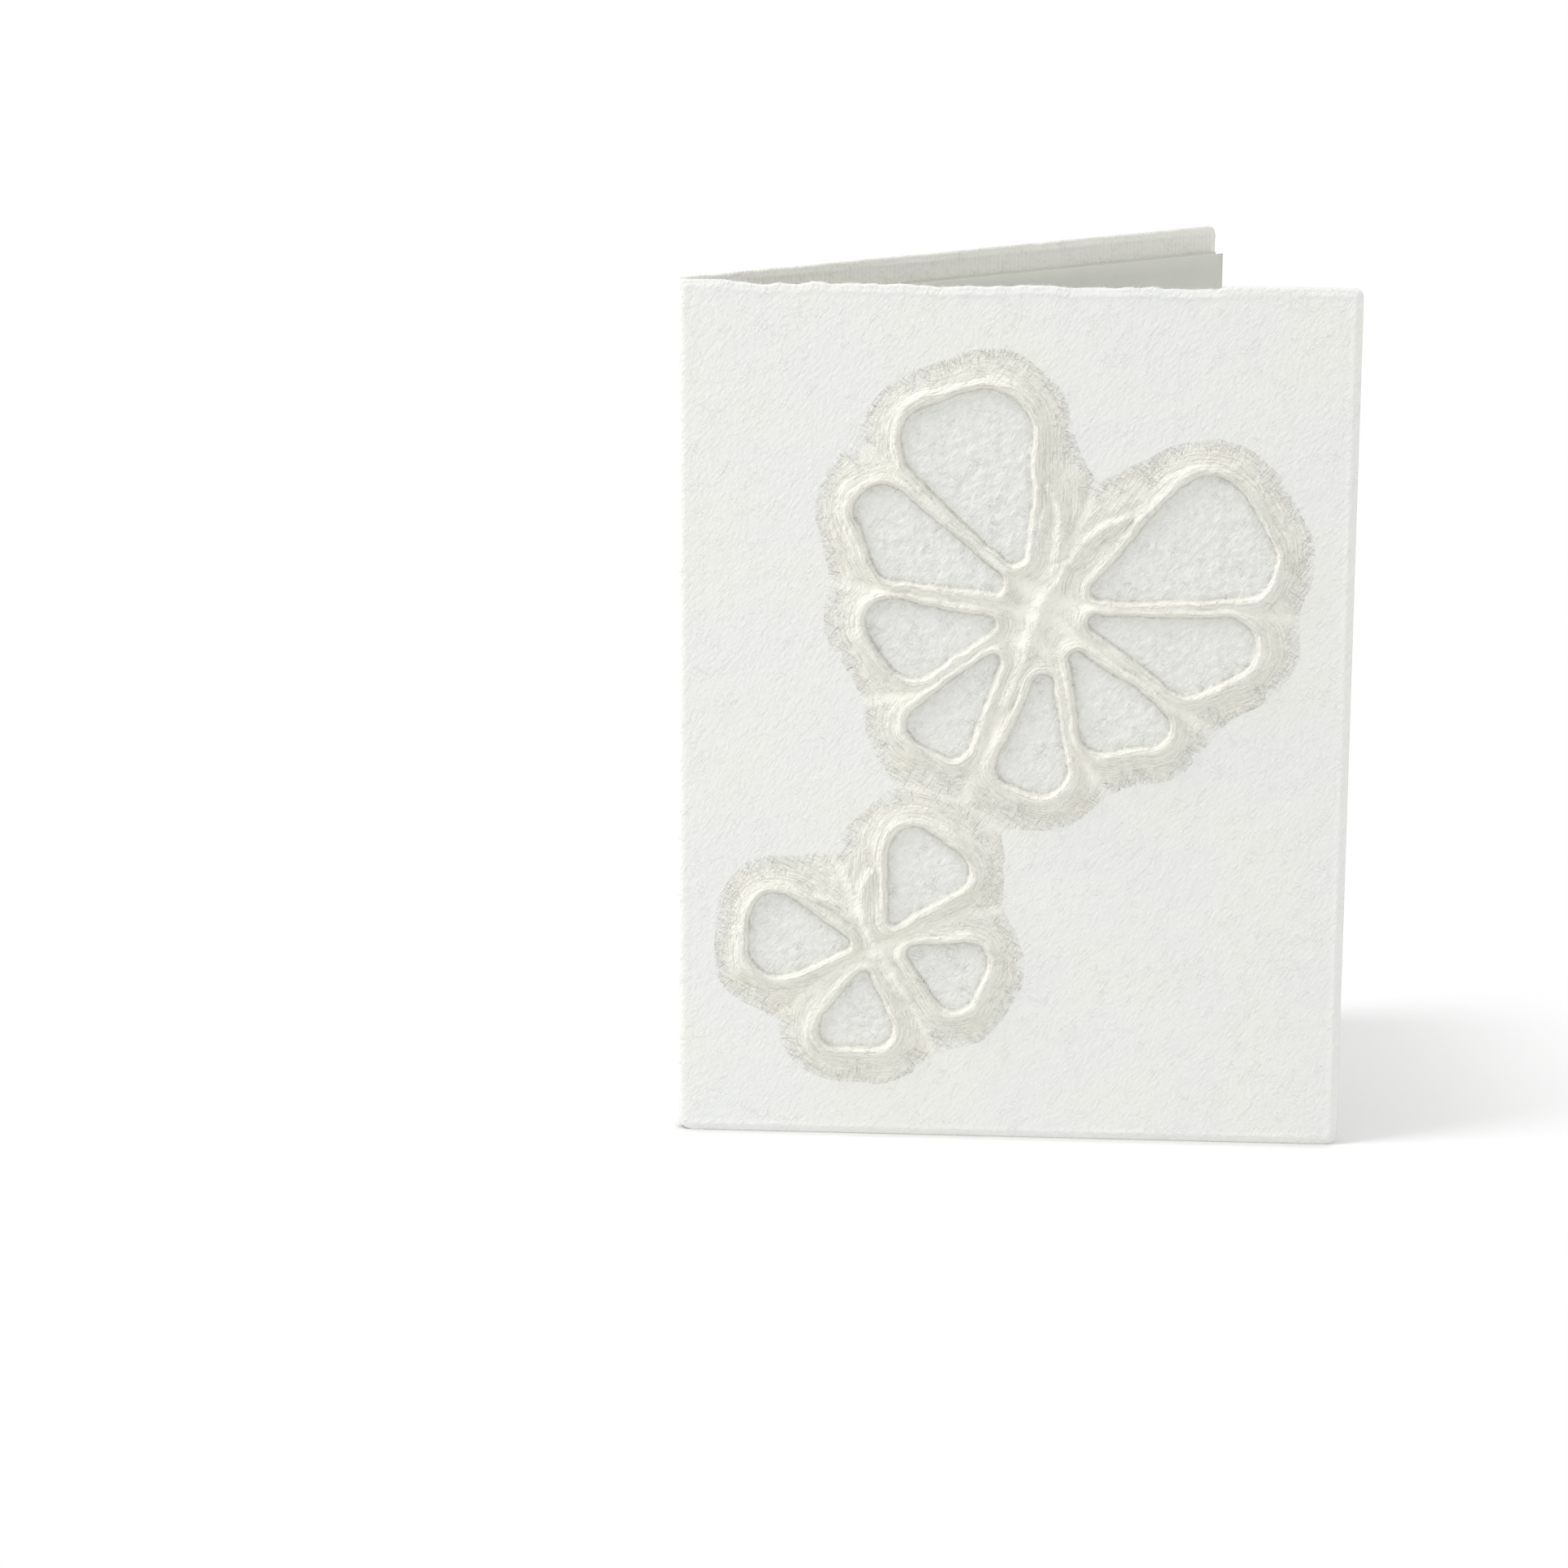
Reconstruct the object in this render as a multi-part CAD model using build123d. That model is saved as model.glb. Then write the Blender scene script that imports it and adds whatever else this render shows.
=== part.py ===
from build123d import *
from math import acos, degrees, pi, sin
import os

# Standing greeting card in handmade paper, with a raised design on its front and a folded insert.
#
# Three pieces of paper make the object:
#   folded_card   one thick sheet with thinned, soft edges, folded once
#   relief_layer  long-fibred pulp couched on the front, gathered into cords round its hollows
#   insert_sheet  a thinner sheet, folded once and tucked into the card's fold
#
# The fold's centre line runs along Z. The front panel's faces are square to Y, and its outer face
# looks towards -Y. At the end all pieces move together, so that the origin lies under the middle
# of the object, on the surface that it stands on. Sizes are in mm and angles in degrees.

# ---- folded card
card_width = 115.0  # one panel, from the fold's outer side to the fore edge
card_height = 150.0
card_thickness = 0.8
fold_inner_radius = 0.8
opening_angle = 37.0  # between the two panels
rim_width = 1.3  # the band along each free edge where the sheet thins out
rim_drop = 0.25  # how much each face falls over that band
head_corner_radius = 1.6
foot_corner_radius = 2.2
fold_foot_radius = 2.4  # the sheet is rounded off at the two ends of the fold
fold_head_radius = 0.8

# ---- ragged stretch of the front panel's top edge
ragged_start = 7.0  # from the fold's centre
ragged_end_margin = 22.0  # from the fore edge
ragged_depth = 0.55  # mean depth
ragged_waves = ((26.0, 0.28, 0.4), (11.3, 0.2, 2.1))  # (wavelength, height, phase) of each wave
ragged_step = 2.5  # about how far apart the edge's points are

# ---- folded insert
insert_head_margin = 4.7  # how far its upper edges stay below the card's
insert_thickness = 0.25
insert_fold_clearance = 0.3  # between the two folds
insert_fore_margin = 0.6  # how far its fore edges stay inside the card's
insert_opening = 0.7  # the angle between its leaves
insert_lean_clearance = 0.1  # the angle between its rear leaf and the back panel

# ---- relief: the pulp layer
layer_thickness = 0.3
layer_margin = 7.0  # how far the layer runs out past the hollows and bodies
feeler_margin = 4.0  # how far it runs out past the feelers
feather_width = 3.0  # the band where the layer thins out to its edge
feather_drop = 0.2
veil_thickness = 0.12  # what covers the panel inside each hollow
cord_width = 2.6
cord_height = 1.3  # above the panel
cord_rounding = 0.9
hollow_bevel = 0.5
body_radius = 1.8
tail_radius = 1.3
feeler_width = 2.0
feeler_rounding = 0.6

# ---- relief: two butterflies, each as (place from the panel's middle, turn, hollows of its right
# wings, ends of its body, points of its right feeler). Each hollow is drawn tightly round three
# circles, given as (out, up, radius) from the butterfly's middle. Both shrink on a smaller card
design_reach = (45.0, 59.7)  # how far the hollows run sideways and up or down from the middle
design_margin = 5.0  # least distance from the layer's edge to the panel's edges
large_butterfly = (
    (4.0, 16.5),
    -21.0,
    (
        ((7.8, 10.0, 1.8), (27.0, 23.0, 6.8), (20.0, 28.0, 7.4)),
        ((9.4, 4.4, 1.6), (26.5, 2.4, 4.4), (31.5, 8.6, 5.0)),
        ((8.2, -2.8, 1.5), (17.5, -12.2, 4.4), (23.5, -9.2, 4.2)),
        ((4.9, -8.8, 1.5), (5.8, -24.0, 3.6), (10.4, -23.0, 4.2)),
    ),
    (11.5, -15.0),
    ((1.2, 12.5), (3.2, 18.5), (7.4, 23.0)),
)
small_butterfly = (
    (-22.0, -42.0),
    28.0,
    (
        ((5.2, 4.8, 1.4), (16.2, 8.6, 4.6), (13.2, 13.0, 4.8)),
        ((4.8, -2.8, 1.3), (8.0, -11.4, 3.8), (12.2, -8.4, 4.0)),
    ),
    (6.0, -8.0),
    ((1.0, 6.8), (2.4, 11.0), (5.0, 13.6)),
)

# ---- worked out
cut_margin = 1.0  # how far a cutting shape runs past what it cuts
fold_outer_radius = fold_inner_radius + card_thickness
panel_reach = card_width - fold_outer_radius  # from the fold's centre to the fore edge
insert_fold_radius = fold_inner_radius - insert_fold_clearance - insert_thickness
insert_reach = panel_reach - insert_fore_margin
insert_height = card_height - insert_head_margin
insert_turn = opening_angle - insert_lean_clearance - insert_opening
panel_middle = (card_width / 2 - fold_outer_radius, card_height / 2)
design_room = [side / 2 - layer_margin - design_margin for side in (card_width, card_height)]
design_scale = min(1.0, *(room / reach for room, reach in zip(design_room, design_reach)))


def leaf_plane(angle, distance):
    """A leaf's own plane: x runs out from the fold, y is up, and z is the way it faces.

    The first leaf, at angle 0, faces -Y, and the plane lies at distance from the fold's centre.
    """
    facing = Vector(0, -1, 0).rotate(Axis.Z, angle)
    return Plane(origin=facing * distance, x_dir=Vector(1, 0, 0).rotate(Axis.Z, angle), z_dir=facing)


def torn_points(inset):
    """The ragged stretch of the front panel's head, as points from its start to its end."""
    end = panel_reach - ragged_end_margin
    count = round((end - ragged_start) / ragged_step)
    points = []
    for i in range(count + 1):
        u = ragged_start + (end - ragged_start) * i / count
        waves = sum(h * sin(2 * pi * u / length + phase) for length, h, phase in ragged_waves)
        drop = ragged_depth + waves if 0 < i < count else 0
        points.append((u, card_height - inset - drop))
    return points


def panel_outline(ragged, inset):
    """One panel, from the fold's centre line to its free edges, drawn in from those by inset."""
    foot, head, fore = inset, card_height - inset, panel_reach - inset
    foot_radius, head_radius = foot_corner_radius - inset, head_corner_radius - inset
    lines = [
        Line((0, foot), (fore - foot_radius, foot)),
        RadiusArc((fore - foot_radius, foot), (fore, foot + foot_radius), -foot_radius),
        Line((fore, foot + foot_radius), (fore, head - head_radius)),
        RadiusArc((fore, head - head_radius), (fore - head_radius, head), -head_radius),
    ]
    if ragged:
        points = torn_points(inset)
        lines += [
            Line((fore - head_radius, head), points[-1]),
            Spline(*reversed(points), tangents=((-1, 0), (-1, 0))),
            Line(points[0], (0, head)),
        ]
    else:
        lines.append(Line((fore - head_radius, head), (0, head)))
    lines.append(Line((0, head), (0, foot)))
    return make_face(Wire(lines))


def panel(ragged):
    """A flat panel, standing on its own plane, whose two faces fall away along the free edges."""
    edge_face, flat_face = panel_outline(ragged, 0), panel_outline(ragged, rim_width)
    lower_rim = loft([flat_face, Pos(0, 0, rim_drop) * edge_face], ruled=True)
    upper_rim = loft(
        [Pos(0, 0, card_thickness - rim_drop) * edge_face, Pos(0, 0, card_thickness) * flat_face],
        ruled=True,
    )
    core = extrude(Pos(0, 0, rim_drop) * edge_face, card_thickness - 2 * rim_drop)
    return lower_rim + core + upper_rim


def card_fold():
    """The bend between the panels, with the same thinned rim at its two ends."""
    inner, outer = fold_inner_radius, fold_outer_radius
    section = Polyline(
        (inner, 0, rim_width),
        (inner + rim_drop, 0, 0),
        (outer - rim_drop, 0, 0),
        (outer, 0, rim_width),
        (outer, 0, card_height - rim_width),
        (outer - rim_drop, 0, card_height),
        (inner + rim_drop, 0, card_height),
        (inner, 0, card_height - rim_width),
        close=True,
    )
    start = Rot(0, 0, 90 + opening_angle) * make_face(section)
    return revolve(start, Axis.Z, 180 - opening_angle)


def fold_end_waste(radius, height, sign):
    """What is cut away to round one end of the fold, as a prism square to the fold's middle."""
    middle = leaf_plane(opening_angle / 2, 0).location
    size = radius + cut_margin
    outer_corner = Pos(-fold_outer_radius - cut_margin, height - sign * cut_margin)
    square = Rectangle(size, size, align=(Align.MIN, Align.MIN if sign > 0 else Align.MAX))
    round_end = Pos(radius - fold_outer_radius, height + sign * radius) * Circle(radius)
    half_depth = fold_outer_radius + radius + cut_margin
    return extrude(middle * (outer_corner * square - round_end), half_depth, both=True)


def folded_card():
    front = leaf_plane(0, fold_inner_radius).location * panel(ragged=True)
    back = leaf_plane(opening_angle, -fold_outer_radius).location * panel(ragged=False)
    sheet = front + card_fold() + back
    sheet -= fold_end_waste(fold_foot_radius, 0, 1)
    sheet -= fold_end_waste(fold_head_radius, card_height, -1)
    return sheet


def insert_sheet():
    """Two plain leaves and the small bend between them, the first leaf turned by insert_turn."""
    inner, outer = insert_fold_radius, insert_fold_radius + insert_thickness
    along = Vector(1, 0).rotate(Axis.Z, insert_opening)
    across = Vector(0, 1).rotate(Axis.Z, insert_opening)
    back = Vector(-1, 0).rotate(Axis.Z, insert_opening / 2)
    fore = along * insert_reach
    outline = [
        Line((insert_reach, -inner), (0, -inner)),
        ThreePointArc((0, -inner), back * inner, across * inner),
        Polyline(across * inner, across * inner + fore, across * outer + fore, across * outer),
        ThreePointArc(across * outer, back * outer, (0, -outer)),
        Polyline((0, -outer), (insert_reach, -outer), (insert_reach, -inner)),
    ]
    return Rot(0, 0, insert_turn) * extrude(make_face(Curve() + outline), insert_height)


def hull_outline(circles, growth=0.0):
    """The face drawn tightly round circles, (x, y, radius) listed counter-clockwise, and grown."""
    centres = [Vector(x, y) for x, y, _ in circles]
    radii = [radius + growth for _, _, radius in circles]
    sides = []
    for i in range(len(circles)):
        j = (i + 1) % len(circles)
        run = centres[j] - centres[i]
        lean = degrees(acos((radii[i] - radii[j]) / run.length))
        facing = run.normalized().rotate(Axis.Z, -lean)
        sides.append((centres[i] + facing * radii[i], centres[j] + facing * radii[j], facing, j))
    lines = []
    for (start, end, facing, j), (next_start, _, next_facing, _) in zip(sides, sides[1:] + sides[:1]):
        turn = facing.get_signed_angle(next_facing, Vector(0, 0, 1)) % 360
        crown = centres[j] + facing.rotate(Axis.Z, turn / 2) * radii[j]
        lines += [Line(start, end), ThreePointArc(end, crown, next_start)]
    return make_face(Wire(lines))


def bent_bar(points, width):
    """A bar of even width with round ends, along the arc through three points."""
    return SlotArc(ThreePointArc(*points), width).face()


def scaled(numbers):
    """The same numbers, or nested groups of them, at the design's scale."""
    if isinstance(numbers, tuple):
        return tuple(scaled(number) for number in numbers)
    return numbers * design_scale


def mirrored(points):
    """The same outline on the butterfly's left, still listed counter-clockwise."""
    return tuple((-point[0], *point[1:]) for point in reversed(points))


def cord(outline, rounding):
    """A raised strand with a round back, standing on the panel."""
    strand = extrude(outline, cord_height)
    return fillet(strand.faces().sort_by(Axis.Z)[-1].edges(), rounding)


def layer(edge_outline, flat_outline):
    """A patch of the thin layer, which falls away from flat_outline to edge_outline."""
    edge_height = layer_thickness - feather_drop
    slope = [Pos(0, 0, edge_height) * edge_outline, Pos(0, 0, layer_thickness) * flat_outline]
    return extrude(edge_outline, edge_height) + loft(slope, ruled=True)


def hollow(circles):
    """What is missing inside one ring of cord, down to the veil, with a bevelled rim."""
    floor = hull_outline(circles)
    well = extrude(Pos(0, 0, veil_thickness) * floor, cord_height)
    rim_start = Pos(0, 0, cord_height - hollow_bevel) * floor
    rim_end = Pos(0, 0, cord_height + hollow_bevel) * hull_outline(circles, 2 * hollow_bevel)
    return well + loft([rim_start, rim_end], ruled=True)


def butterfly(place, turn, right_hollows, body_ends, feeler):
    """One butterfly on the panel's outer face, as two lists: what is raised, and its hollows."""
    place, right_hollows, body_ends, feeler = scaled((place, right_hollows, body_ends, feeler))
    raised, hollows = [], []
    for circles in right_hollows + tuple(mirrored(circles) for circles in right_hollows):
        edge = hull_outline(circles, layer_margin)
        raised.append(layer(edge, hull_outline(circles, layer_margin - feather_width)))
        raised.append(cord(hull_outline(circles, cord_width), cord_rounding))
        hollows.append(hollow(circles))
    body = ((0, body_ends[0], body_radius), (0, body_ends[1], tail_radius))
    edge = hull_outline(body, layer_margin)
    raised.append(layer(edge, hull_outline(body, layer_margin - feather_width)))
    raised.append(cord(hull_outline(body), cord_rounding))
    for points in (feeler, mirrored(feeler)):
        edge = bent_bar(points, feeler_width + 2 * feeler_margin)
        flat = bent_bar(points, feeler_width + 2 * (feeler_margin - feather_width))
        raised.append(layer(edge, flat))
        raised.append(cord(bent_bar(points, feeler_width), feeler_rounding))
    position = Pos(*place) * Rot(0, 0, turn)
    return [position * shape for shape in raised], [position * shape for shape in hollows]


def relief_layer():
    """The whole layer with its cords, laid flush on the front panel's outer face."""
    raised, hollows = butterfly(*large_butterfly)
    more_raised, more_hollows = butterfly(*small_butterfly)
    whole = Part()
    for shape in raised + more_raised:
        whole += shape
    whole -= hollows + more_hollows
    return leaf_plane(0, fold_outer_radius).location * Pos(*panel_middle) * whole


pieces = {
    "folded_card": folded_card(),
    "relief_layer": relief_layer(),
    "insert_sheet": insert_sheet(),
}

# ---- all pieces move together onto the origin, and each is written to its own file
box = pieces["folded_card"].bounding_box()
for shape in pieces.values():
    box = box.add(shape.bounding_box())
shift = Pos(-box.center().X, -box.center().Y, -box.min.Z)
os.makedirs("parts", exist_ok=True)
for name, shape in pieces.items():
    placed = shift * shape
    placed.label = name
    export_step(placed, f"parts/{name}.step")
print("the fold's centre line is at", tuple(round(value, 4) for value in shift.position))
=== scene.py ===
import bpy, bmesh, math, random
from mathutils import Matrix, Vector, kdtree, noise


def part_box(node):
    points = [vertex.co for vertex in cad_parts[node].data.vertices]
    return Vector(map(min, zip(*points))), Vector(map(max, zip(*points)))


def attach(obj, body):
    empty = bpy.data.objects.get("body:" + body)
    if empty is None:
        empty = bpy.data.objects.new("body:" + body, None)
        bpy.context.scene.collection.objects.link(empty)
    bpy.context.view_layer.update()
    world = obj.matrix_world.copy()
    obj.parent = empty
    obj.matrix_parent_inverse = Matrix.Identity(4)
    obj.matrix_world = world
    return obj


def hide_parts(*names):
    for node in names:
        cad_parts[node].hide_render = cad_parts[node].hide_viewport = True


# Standing greeting card in handmade paper: a thick folded sheet, a raised pulp design on its front,
# and a thin folded insert. The dictionaries give lengths in millimetres, and the meshes are in metres.

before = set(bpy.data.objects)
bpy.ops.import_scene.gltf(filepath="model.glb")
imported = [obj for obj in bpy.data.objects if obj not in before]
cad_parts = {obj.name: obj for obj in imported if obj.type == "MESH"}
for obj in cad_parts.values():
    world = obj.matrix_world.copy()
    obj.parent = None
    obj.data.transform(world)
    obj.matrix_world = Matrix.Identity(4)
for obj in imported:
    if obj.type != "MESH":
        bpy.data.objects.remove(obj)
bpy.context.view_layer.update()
mm = 0.001
rng = random.Random(41)


# the card's own shape, as the frame has it
card = dict(
    width=115.0,            # one panel, from the fold's outer side to the fore edge
    height=150.0,
    thickness=0.8,
    foldRadius=0.8,         # inner radius of the bend
    opening=37.0,           # degrees between the panels
    rimWidth=1.3,           # band that thins out along the free edges
    rimThickness=0.22,
    lipHeight=0.12,         # low ridge just inside the rim
    tuftHeight=0.16,        # of the fluffy roll along the torn head
    headCorner=1.6,
    footCorner=2.2,
    foldFoot=2.4,
    foldHead=0.8,
    cockle=0.10,            # how far the panels wave
    tornStart=6.0,          # the torn stretch of the front head, out from the bend
    tornEnd=91.5,
    tornDepth=1.15,
)
midRadius = card["foldRadius"] + card["thickness"] / 2
bend = math.radians(180 - card["opening"])
halfBend = midRadius * bend / 2
panelFlat = card["width"] - card["foldRadius"] - card["thickness"]  # length of a panel beyond the bend
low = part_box("folded_card")[0]
foldX = low[0] / mm + card["foldRadius"] + card["thickness"]
foldY = low[1] / mm + card["foldRadius"] + card["thickness"]
turn = math.radians(card["opening"])


def smooth(a, b, x):
    t = min(1.0, max(0.0, (x - a) / (b - a)))
    return t * t * (3 - 2 * t)


def grain(x, y, size, seed=0.0):  # smooth noise, about -1 to 1
    return noise.noise(Vector((x / size, y / size, seed)))


def sheetPoint(u, w):  # plan position of a point: u along the sheet from the fold, w out from its middle
    r = midRadius + w
    if u > halfBend:
        return Vector((u - halfBend, -r))
    if u < -halfBend:
        along = -u - halfBend
        return Vector((along * math.cos(turn) - r * math.sin(turn),
                       along * math.sin(turn) + r * math.cos(turn)))
    a = math.radians(270) - (halfBend - u) / midRadius
    return Vector((r * math.cos(a), r * math.sin(a)))


def cockle(u, v):  # slow waves, none at the fold or the foot, and only inwards on the front
    fade = smooth(2, 30, abs(u)) * smooth(0, 25, v)
    wave = 0.5 * grain(u, v, 47.0, 3.1) + 0.5 * grain(u, v, 23.0, 8.4)
    return card["cockle"] * fade * (wave - 0.5 if u > 0 else wave)


def place(u, v, w):  # a point of the sheet in the scene
    p = sheetPoint(u, w + cockle(u, v))
    return Vector(((foldX + p.x) * mm, (foldY + p.y) * mm, v * mm))


def tornDepth(u):  # how far the front panel's head is torn down at u from the fold
    t = u - halfBend
    if t < card["tornStart"] or t > card["tornEnd"]:
        return 0.05 + 0.04 * grain(u, 0, 6.0, 5.5)
    fade = smooth(card["tornStart"], card["tornStart"] + 5, t)
    fade *= 1 - smooth(card["tornEnd"] - 3, card["tornEnd"], t)
    slow = 0.42 + 0.45 * grain(t, 0, 12.0, 1.7) + 0.30 * grain(t, 0, 5.0, 2.9)
    scallop = 0.5 + 0.9 * grain(t, 0, 2.9, 6.2)
    fray = 0.10 * grain(t, 0, 1.3, 4.4) + 0.07 * grain(t, 0, 0.7, 9.1)
    depth = fade * (0.62 * slow + 0.30 * max(0.0, scallop) + fray) + 0.05
    return max(0.0, min(1.0, depth)) * card["tornDepth"]


def cornerCut(radius, over):  # how far a round corner cuts in, over being how far past its arc's start
    over = max(0.0, over)
    return radius - math.sqrt(max(0.0, radius * radius - over * over))


def edges(u):  # lowest and highest v of the sheet at u
    side = abs(u) - halfBend
    p = sheetPoint(u, 0.0)
    out = p.x * math.cos(turn / 2) + p.y * math.sin(turn / 2) + card["foldRadius"] + card["thickness"]
    lowest, drop = [
        cornerCut(fore, side - (panelFlat - fore)) + cornerCut(fold, fold - out)
        for fore, fold in ((card["footCorner"], card["foldFoot"]), (card["headCorner"], card["foldHead"]))
    ]
    worn = tornDepth(u) if u > 0 else 0.10 + 0.10 * grain(u, 0, 3.1, 7.7) + 0.06 * grain(u, 0, 0.9, 2.2)
    return lowest, card["height"] - worn - drop


def spread(start, end, fine, coarse, band):  # stations from start to end, close together near both
    stations = [start]
    while stations[-1] < end - fine * 0.5:
        gap = min(stations[-1] - start, end - stations[-1])
        stations.append(stations[-1] + fine + (coarse - fine) * smooth(band * 0.3, band, gap))
    stations[-1] = end
    return stations


def finishPiece(name, bm, material, replaced=None):
    mesh = bpy.data.meshes.new(name)
    bm.to_mesh(mesh)
    bm.free()
    piece = bpy.data.objects.new(name, mesh)
    bpy.context.scene.collection.objects.link(piece)
    mesh.materials.append(material)
    for polygon in mesh.polygons:
        polygon.use_smooth = True
    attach(piece, "root")
    if replaced:
        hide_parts(replaced)
    return piece


# shader helpers
class Socket:  # a node's output that can be written in expressions
    def __init__(self, tree, out):
        self.tree = tree
        self.out = out

    def maths(self, operation, *values):
        inputs = {f"i{n}": value for n, value in enumerate(values)}
        return addNode(self.tree, "ShaderNodeMath", {"operation": operation}, **inputs)

    def __add__(self, other):
        return self.maths("ADD", self, other)

    def __radd__(self, other):
        return self.maths("ADD", other, self)

    def __sub__(self, other):
        return self.maths("SUBTRACT", self, other)

    def __rsub__(self, other):
        return self.maths("SUBTRACT", other, self)

    def __mul__(self, other):
        return self.maths("MULTIPLY", self, other)

    def __rmul__(self, other):
        return self.maths("MULTIPLY", other, self)

    def __truediv__(self, other):
        return self.maths("DIVIDE", self, other)

    def __pow__(self, other):
        return self.maths("POWER", self, other)

    def absolute(self):
        return self.maths("ABSOLUTE", self)


def addNode(tree, kind, settings=None, **inputs):  # i0, i1 and so on are inputs by number, others by name
    node = tree.nodes.new(kind)
    settings = dict(settings or {})
    output = settings.pop("output", 0)
    for key, value in settings.items():
        setattr(node, key, value)
    for key, value in inputs.items():
        numbered = key[0] == "i" and key[1:].isdigit()
        socket = node.inputs[int(key[1:]) if numbered else key.replace("_", " ")]
        if isinstance(value, Socket):
            tree.links.new(value.out, socket)
        else:
            socket.default_value = value
    return Socket(tree, node.outputs[output])


def newMaterial(name):
    material = bpy.data.materials.new(name)
    material.use_nodes = True
    tree = material.node_tree
    tree.nodes.clear()
    surface = tree.nodes.new("ShaderNodeOutputMaterial")
    shader = tree.nodes.new("ShaderNodeBsdfPrincipled")
    tree.links.new(shader.outputs[0], surface.inputs[0])
    return material, tree, shader


def finishMaterial(tree, shader, look, colour, height):
    normal = addNode(tree, "ShaderNodeBump", None, Strength=look["bump"], Distance=1.0, Height=height)
    tree.links.new(colour.out, shader.inputs["Base Color"])
    tree.links.new(normal.out, shader.inputs["Normal"])
    shader.inputs["Roughness"].default_value = look["roughness"]
    shader.inputs["Specular IOR Level"].default_value = look["specular"]


def objectPlace(tree):
    return addNode(tree, "ShaderNodeTexCoord", {"output": 3})


def attribute(tree, name):
    return addNode(tree, "ShaderNodeAttribute", {"attribute_name": name, "output": 2})


def stretched(tree, where, angle, along, across):  # coordinates turned in the panel's plane, then scaled
    turned = addNode(tree, "ShaderNodeVectorRotate", {"rotation_type": "Y_AXIS"},
                     Vector=where, Angle=math.radians(angle))
    scale = (1 / (along * mm), 1 / (across * mm), 1 / (across * mm))
    return addNode(tree, "ShaderNodeVectorMath", {"operation": "MULTIPLY"}, i0=turned, i1=scale)


def smoothNoise(tree, where, detail=2.0, rough=0.5, distortion=0.0):
    return addNode(tree, "ShaderNodeTexNoise", None,
                   Vector=where, Scale=1.0, Detail=detail, Roughness=rough, Distortion=distortion)


def between(tree, value, a, b):  # 0 below a, 1 above b
    return addNode(tree, "ShaderNodeMapRange", {"interpolation_type": "SMOOTHSTEP"},
                   Value=value, From_Min=a, From_Max=b)


def fibres(tree, where, angle, length, width, sharp):  # thin raised strands lying one way
    n = smoothNoise(tree, stretched(tree, where, angle, length, width), 1.5, 0.5, 0.7)
    ridge = 1 - (n * 2 - 1).absolute() * sharp
    return ridge.maths("MAXIMUM", ridge, 0.0)


def mixColour(tree, factor, a, b):
    a, b = (colour if isinstance(colour, Socket) else (*colour, 1) for colour in (a, b))
    return addNode(tree, "ShaderNodeMix", {"data_type": "RGBA", "output": 2}, i0=factor, i6=a, i7=b)


paper = dict(
    warm=(0.845, 0.846, 0.806),
    cool=(0.832, 0.840, 0.824),
    mottle=(0.66, 0.66, 0.63),
    mottleAmount=0.05,
    speck=(0.17, 0.13, 0.09),
    speckAmount=0.6,
    inside=(0.865, 0.862, 0.790),   # the back panel's ribbed side
    insideAmount=0.75,
    ribSpacing=0.85,                # of the mould's fine ribs there
    ribDepth=0.05,
    depths=(0.055, 0.21, 0.16),     # of the fibres, the grain and the lumps
    bump=1.0,
    roughness=0.92,
    specular=0.25,
)


def paperHeight(tree, where, depths):  # in metres
    fibreDepth, grainDepth, lumpDepth = (depth * mm for depth in depths)
    raised = fibres(tree, where, 52, 3.4, 0.95, 3.6) ** 2 + fibres(tree, where, -30, 3.0, 0.90, 3.6) ** 2
    here = smoothNoise(tree, stretched(tree, where, 55, 3.0, 2.0), 1.0)
    fine = smoothNoise(tree, stretched(tree, where, 52, 1.05, 0.60), 3.0, 0.55, 0.4)
    lumps = smoothNoise(tree, stretched(tree, where, 30, 4.5, 3.2), 2.0, 0.5)
    return raised * between(tree, here, 0.40, 0.75) * fibreDepth + fine * grainDepth + lumps * lumpDepth


def paperColour(tree, where):  # slow clouds, fine mottling and rare specks
    cloud = smoothNoise(tree, stretched(tree, where, 20, 26, 17), 3.0, 0.55, 0.4)
    colour = mixColour(tree, between(tree, cloud, 0.35, 0.65), paper["warm"], paper["cool"])
    mottle = smoothNoise(tree, stretched(tree, where, 50, 1.6, 1.0), 3.0, 0.6)
    mottled = between(tree, mottle, 0.35, 0.7) * paper["mottleAmount"]
    colour = mixColour(tree, mottled, colour, paper["mottle"])
    spots = addNode(tree, "ShaderNodeTexVoronoi", {"feature": "F1", "output": 0},
                    Vector=stretched(tree, where, 0, 13, 13), Scale=1.0)
    pick = smoothNoise(tree, stretched(tree, where, 70, 8.0, 8.0), 0.0)
    speck = (1 - between(tree, spots, 0.010, 0.024)) * between(tree, pick, 0.50, 0.56)
    return mixColour(tree, speck * paper["speckAmount"], colour, paper["speck"])


def makeBasePaper():
    material, tree, shader = newMaterial("basePaper")
    where = objectPlace(tree)
    inside = attribute(tree, "inside")  # 1 on the back panel's inner side
    along = attribute(tree, "along")    # along the sheet, from the fold
    ribs = along.maths("SINE", along * (2 * math.pi / paper["ribSpacing"])) * 0.5 + 0.5
    colour = mixColour(tree, inside * paper["insideAmount"], paperColour(tree, where), paper["inside"])
    height = paperHeight(tree, where, paper["depths"]) + ribs * inside * (paper["ribDepth"] * mm)
    finishMaterial(tree, shader, paper, colour, height)
    return material


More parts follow.
